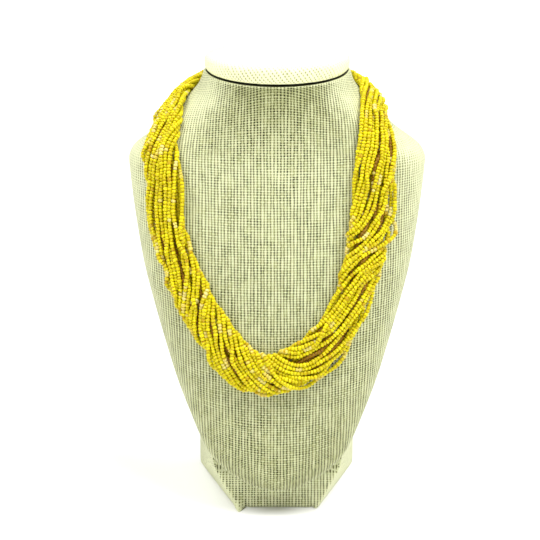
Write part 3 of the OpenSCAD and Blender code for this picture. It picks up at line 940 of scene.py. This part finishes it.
def weave_group():
    """Plain weave over a cloth's own map: height, openness, and how thick the thread on top is.

    The threads wander a little, and each is thick in some places and thin in others."""
    tree = bpy.data.node_groups.new("plain_weave", "ShaderNodeTree")
    tree.interface.new_socket("Cloth", in_out="INPUT", socket_type="NodeSocketVector")
    for name in ("Height", "Open", "Slub"):
        tree.interface.new_socket(name, in_out="OUTPUT", socket_type="NodeSocketFloat")
    place = add(tree, "NodeGroupInput").outputs["Cloth"]
    xyz = add(tree, "ShaderNodeSeparateXYZ", {0: place}).outputs

    def maths(*given):
        """A maths node of this group."""
        return calc(tree, *given)

    def threads(axis, pitch):
        """The number of the thread at a place, and how far off the thread's middle that is."""
        stretch = [WANDER_ALONG, WANDER_ALONG, 1]
        stretch[axis] = WANDER_ACROSS
        drawn = add(tree, "ShaderNodeVectorMath", {0: place, 1: stretch},
                    operation="MULTIPLY").outputs[0]
        sway = maths("SUBTRACT", noise(tree, drawn, 1.0), 0.5)
        moved = maths("MULTIPLY_ADD", sway, WANDER, xyz[axis])
        number = maths("DIVIDE", moved, pitch)
        line = maths("FLOOR", number)
        return line, maths("SUBTRACT", maths("FRACT", number), 0.5)

    def own_places(line, along, per_unit):
        """Places in a noise where each thread has a line of its own."""
        return add(tree, "ShaderNodeCombineXYZ", {
            0: maths("MULTIPLY", line, OWN_NOISE),
            1: maths("MULTIPLY", along, per_unit)}).outputs[0]

    def slubs(line, along, strength):
        """How thick a thread is at each place."""
        thick = noise(tree, own_places(line, along, SLUBS), 1.0)
        return maths("MULTIPLY_ADD", thick, strength, 0.5 - strength / 2)

    def profile(offset, slub, thin, thick):
        """A thread's round back, from 1 on its middle to 0 at its edge."""
        half_width = maths("MULTIPLY_ADD", slub, thick - thin, thin)
        share = maths("DIVIDE", offset, half_width)
        left = maths("SUBTRACT", 1.0, maths("MULTIPLY", share, share))
        return maths("SQRT", maths("MAXIMUM", left, 0.0))

    def rise(offset, sign):
        """How a thread rises over one crossing thread and dips under the next."""
        wave = maths("COSINE", maths("MULTIPLY", offset, math.pi))
        return maths("MULTIPLY_ADD", maths("MULTIPLY", wave, sign), 0.40, 0.60)

    column, a = threads(0, WARP_PITCH)
    line, b = threads(1, WEFT_PITCH)
    warp_slub = slubs(column, xyz[1], 1.5)
    weft_slub = slubs(line, xyz[0], 0.8)
    odd = maths("FLOORED_MODULO", maths("ADD", column, line), 2.0)
    sign = maths("MULTIPLY_ADD", odd, -2.0, 1.0)
    other = maths("MULTIPLY", sign, -1.0)
    warp = profile(a, warp_slub, 0.20, 0.46)
    weft = profile(b, weft_slub, 0.15, 0.34)
    warp_h = maths("MULTIPLY", warp, maths("MAXIMUM", rise(b, sign), 0.72))
    weft_h = maths("MULTIPLY", weft, maths("MULTIPLY", rise(a, other), 1.15))
    on_top = maths("GREATER_THAN", warp_h, weft_h)
    slub = add(tree, "ShaderNodeMix", {"Factor": on_top, "A": weft_slub, "B": warp_slub},
               data_type="FLOAT").outputs[0]

    # A gap opens between threads where its own chance, its column's and its patch's are high
    gap_column = maths("ROUND", maths("ADD", column, a))
    gap_line = maths("ROUND", maths("ADD", line, b))
    each = noise(tree, own_places(gap_column, gap_line, 0.45), 1.0, 1.0)
    row = add(tree, "ShaderNodeTexWhiteNoise", {"W": gap_column},
              noise_dimensions="1D").outputs["Value"]
    patch = noise(tree, place, 95.0, 1.0)
    chance = maths("MULTIPLY_ADD", each, 5.5, maths("MULTIPLY", row, 0.5))
    chance = maths("ADD", patch, maths("ADD", chance, -2.50))
    chance = maths("MINIMUM", chance, 1.25)
    filled = maths("MULTIPLY", maths("MAXIMUM", warp, weft), 2.0)
    opened = maths("MAXIMUM", maths("SUBTRACT", chance, filled), 0.0)
    add(tree, "NodeGroupOutput", {"Height": maths("MAXIMUM", warp_h, weft_h),
                                  "Open": maths("MINIMUM", opened, 1.0), "Slub": slub})
    return tree


def cloth(name, weave, pale, deep_shade, hole_shade, bias=0.0):
    """Coarse woven cloth, whose threads lie along the piece's own cloth map, turned by a bias;
    painted shade darkens the threads' low places and the holes, and painted light makes it paler
    where the weave is close.
    """
    made, tree, shader = material(name)
    uv = add(tree, "ShaderNodeUVMap", uv_map="cloth").outputs[0]
    placed = add(tree, "ShaderNodeMapping", {"Vector": uv, "Rotation": (0, 0, bias)}).outputs[0]
    woven = add(tree, "ShaderNodeGroup", {"Cloth": placed}, node_tree=weave)
    fibre = noise(tree, placed, 2600.0)
    # Painted shade: the threads darken towards their low places between crossings
    tint = calc(tree, "MULTIPLY_ADD", woven.outputs["Height"], 0.80, -0.24)
    tint = calc(tree, "ADD", tint, calc(tree, "MULTIPLY", woven.outputs["Slub"], 0.40))
    tint = calc(tree, "ADD", tint, calc(tree, "MULTIPLY_ADD", fibre, 0.30, -0.15))
    # Painted light: the cloth is paler where the weave is close, as where it turns to the sides
    gaps = mark(tree, "gaps")
    tint = calc(tree, "MULTIPLY_ADD", calc(tree, "SUBTRACT", 1.0, gaps), 0.50, tint)
    thread = ramp(tree, tint, (0.10, deep_shade), (0.72, pale))
    # Painted shade: open holes take the near-black hole colour
    opened = calc(tree, "MULTIPLY", woven.outputs["Open"], gaps)
    bump = add(tree, "ShaderNodeBump", {
        "Height": woven.outputs["Height"], "Distance": 0.45 * MM,
        "Strength": calc(tree, "MULTIPLY_ADD", gaps, 0.5, 0.3)}).outputs[0]
    feed(tree, shader, {"Base Color": mixed(tree, opened, thread, (*hole_shade, 1)), "Normal": bump,
                        "Roughness": 0.92, "Specular IOR Level": 0.2, "Sheen Weight": 0.10})
    return made


def seam_shade_board():
    """Near-black board on the bust's top face, seen only in the seam under the cap: painted shade
    there.
    """
    made, tree, shader = material("seam_shade_board")
    grained(tree, shader, 300.0, (0.016, 0.015, 0.003), (0.034, 0.032, 0.006))
    feed(tree, shader, {"Roughness": 0.9})
    return made


def bead_glass():
    """Opaque glass in each bead's own tone, browned towards its ends as painted shade where beads
    meet.
    """
    made, tree, shader = material("seed_bead_glass")
    glass = ramp(tree, mark(tree, "tone"), (0.0, (0.52, 0.43, 0.001)),
                 (YELLOW, (0.70, 0.63, 0.002)), (AMBER, (0.48, 0.33, 0.002)),
                 (SHADE_AMBER, (0.22, 0.10, 0.001)), (CREAM, (0.62, 0.51, 0.07)),
                 (1.0, (0.68, 0.60, 0.19)))
    # Painted shade: brown mixed in near each bead's ends, where it meets the next bead
    end_shade = (0.52, 0.34, 0.003, 1)
    near_end = add(tree, "ShaderNodeMapRange",
                   {"Value": mark(tree, "end"), "From Min": 0.75, "From Max": 1.0}).outputs[0]
    haze = noise(tree, add(tree, "ShaderNodeTexCoord").outputs["Object"], 900.0)
    feed(tree, shader, {"Base Color": mixed(tree, near_end, glass, end_shade),
                        "Roughness": calc(tree, "MULTIPLY_ADD", haze, 0.20, 0.32),
                        "Specular IOR Level": 0.25, "Subsurface Weight": 0.6,
                        "Subsurface Radius": (1.0, 0.8, 0.1), "Subsurface Scale": 0.9 * MM})
    return made


def clasp_brass():
    """Bright brass, a little cloudy."""
    made, tree, shader = material("clasp_brass")
    cloud = grained(tree, shader, 350.0, (0.62, 0.44, 0.17), (0.83, 0.64, 0.30), detail=4.0)
    feed(tree, shader, {"Roughness": calc(tree, "MULTIPLY_ADD", cloud, 0.2, 0.16),
                        "Metallic": 1.0})
    return made


# Studio

def paper():
    """White paper under the bust."""
    made, tree, shader = material("white_paper")
    grained(tree, shader, 40.0, (0.87, 0.87, 0.87), (0.90, 0.90, 0.90))
    feed(tree, shader, {"Roughness": 0.95, "Specular IOR Level": 0.0})
    return made


def lamp(name, kind, energy):
    """A new lamp, and the object that holds it."""
    light = bpy.data.lights.new(name, kind)
    light.energy = energy
    return light, new_object(name, light)


def studio():
    """A pale floor in a light tent: two broad lamps above, the right one stronger, one in front."""
    half = 8.0
    corners = [(-half, -half, 0), (half, -half, 0), (half, half, 0), (-half, half, 0)]
    floor = mesh_object("floor", corners, [(0, 1, 2, 3)], smooth=False)
    floor.data.materials.append(paper())
    scene = bpy.context.scene
    world = bpy.data.worlds.new("tent")
    scene.world = world
    world.use_nodes = True
    feed(world.node_tree, world.node_tree.nodes["Background"],
         {"Color": (1.0, 1.0, 1.0, 1), "Strength": 0.45})
    for side, strength in ((-1, 2.2), (1, 3.3)):
        roof, holder = lamp("tent_roof", "SUN", strength)
        roof.angle = math.radians(36)
        holder.rotation_euler = (math.radians(9), side * math.radians(25), 0)
    front, holder = lamp("tent_front", "AREA", 4.0)
    front.shape = "SQUARE"
    front.size = 1.2
    holder.location = (0, -1.7, 0.25)
    aim(holder, (0.0, 0.0, 0.25))
    scene.view_settings.view_transform = "Standard"
    scene.view_settings.look = "None"


def aim(thing, target):
    """Turns a lamp or the camera towards a point."""
    way = Vector(np.asarray(target) - np.asarray(thing.location))
    thing.rotation_euler = way.to_track_quat("-Z", "Y").to_euler()


def camera():
    """The photo's place: a little above the bust, looking down at it."""
    pitch = math.radians(19)
    distance = 1.1
    middle = np.array([-5.2 * MM, -5.7 * MM, 172.5 * MM])
    picture_per_metre = 1335.0
    picture_side = 540
    view = bpy.data.cameras.new("camera")
    view.sensor_width = 36.0
    view.lens = view.sensor_width * picture_per_metre * distance / picture_side
    view.clip_end = 50.0
    holder = new_object("camera", view)
    holder.location = middle + distance * np.array([0, -math.cos(pitch), math.sin(pitch)])
    aim(holder, middle)
    bpy.context.scene.camera = holder


def finish_piece(piece, look, slot_name, *nodes):
    """Gives a piece its look, hangs it under the root and hides the CAD nodes that it stands for;
    the slot name is not used.
    """
    if look is not None:
        piece.data.materials.append(look)
    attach(piece, "root")
    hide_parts(*nodes)


def main():
    weave = weave_group()
    # Each cloth: pale threads, the painted shade of their low places, and the painted shade in the
    # holes
    burlap = (0.66, 0.68, 0.42), (0.28, 0.295, 0.115), (0.006, 0.006, 0.001)
    bleached = (0.92, 0.93, 0.56), (0.46, 0.47, 0.22), (0.16, 0.16, 0.05)
    bust = bust_body()
    finish_piece(bust, cloth("bust_cloth", weave, *burlap), "bust_cloth", "bust_body")
    # The bust's second material: near-black board, painted shade in the seam under the cap
    bust.data.materials.append(seam_shade_board())
    cap = neck_cap()
    finish_piece(cap, cloth("cap_cloth", weave, *bleached, bias=math.radians(-45)),
                 "cap_cloth", "neck_cap")
    block = foot()
    finish_piece(block, cloth("foot_cloth", weave, *burlap), "foot_cloth", "foot")

    bundle = Bundle()
    strands = settled(first_lay(bundle), bundle)
    tree, glass = bead_tree(), bead_glass()
    per_piece = 5
    for number, start in enumerate(range(0, STRANDS, per_piece), 1):
        some = range(start, min(start + per_piece, STRANDS))
        piece = bead_piece(f"bead_strands_{number}", strands[start:start + per_piece],
                           [k >= RIM_STRANDS for k in some], tree, glass, number)
        finish_piece(piece, None, "beads", "bead_bundle")

    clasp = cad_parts["clasp"]
    clasp.data.materials.clear()
    clasp.data.materials.append(clasp_brass())

    studio()
    camera()


main()
